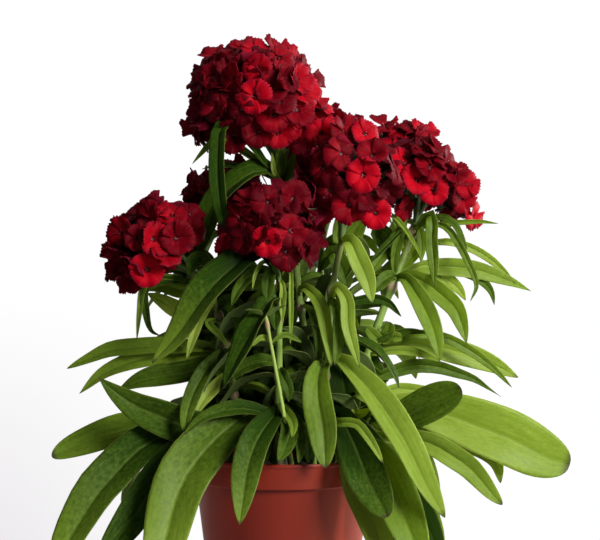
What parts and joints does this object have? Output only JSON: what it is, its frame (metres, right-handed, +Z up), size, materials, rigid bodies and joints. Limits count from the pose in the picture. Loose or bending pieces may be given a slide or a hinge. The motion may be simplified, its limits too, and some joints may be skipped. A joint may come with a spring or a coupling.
{
  "type": "potted sweet william",
  "caption": "Bushy flowering plant in a round tapered pot: leafy stems with opposite lance-shaped leaves, each carrying a dense dome of dark red toothed florets.",
  "frame": {"origin": "middle of the underside of the pot", "axes": "+Z up along the pot's axis, -Y the front of the plant, +X to its right"},
  "size_m": [0.325, 0.2409, 0.3821],
  "materials": {
    "pot": "red-brown moulded plastic, soft sheen",
    "soil": "dark moist potting soil",
    "leaf": "soft satin leaf, paler midrib",
    "petal": "velvety dark red petal"
  },
  "bodies": {
    "root": {"pot": "pot", "soil": "soil", "flowering_stem_top": "leaf", "flowering_stem_right": "leaf", "flowering_stem_middle": "leaf", "flowering_stem_front": "leaf", "flowering_stem_left": "leaf", "flowering_stem_back_left": "leaf", "flowering_stem_back_right": "leaf", "leafy_shoot_front_left": "leaf", "leafy_shoot_left": "leaf", "leafy_shoot_front": "leaf", "leafy_shoot_front_right": "leaf", "leafy_shoot_right": "leaf", "leafy_shoot_back_right": "leaf", "leafy_shoot_back": "leaf", "leafy_shoot_back_left": "leaf", "young_shoot_front": "leaf", "bloom_head_top": "petal", "bloom_head_right": "petal", "bloom_head_middle": "petal", "bloom_head_front": "petal", "bloom_head_left": "petal", "bloom_head_back_left": "petal", "bloom_head_back_right": "petal"}
  },
  "joints": []
}
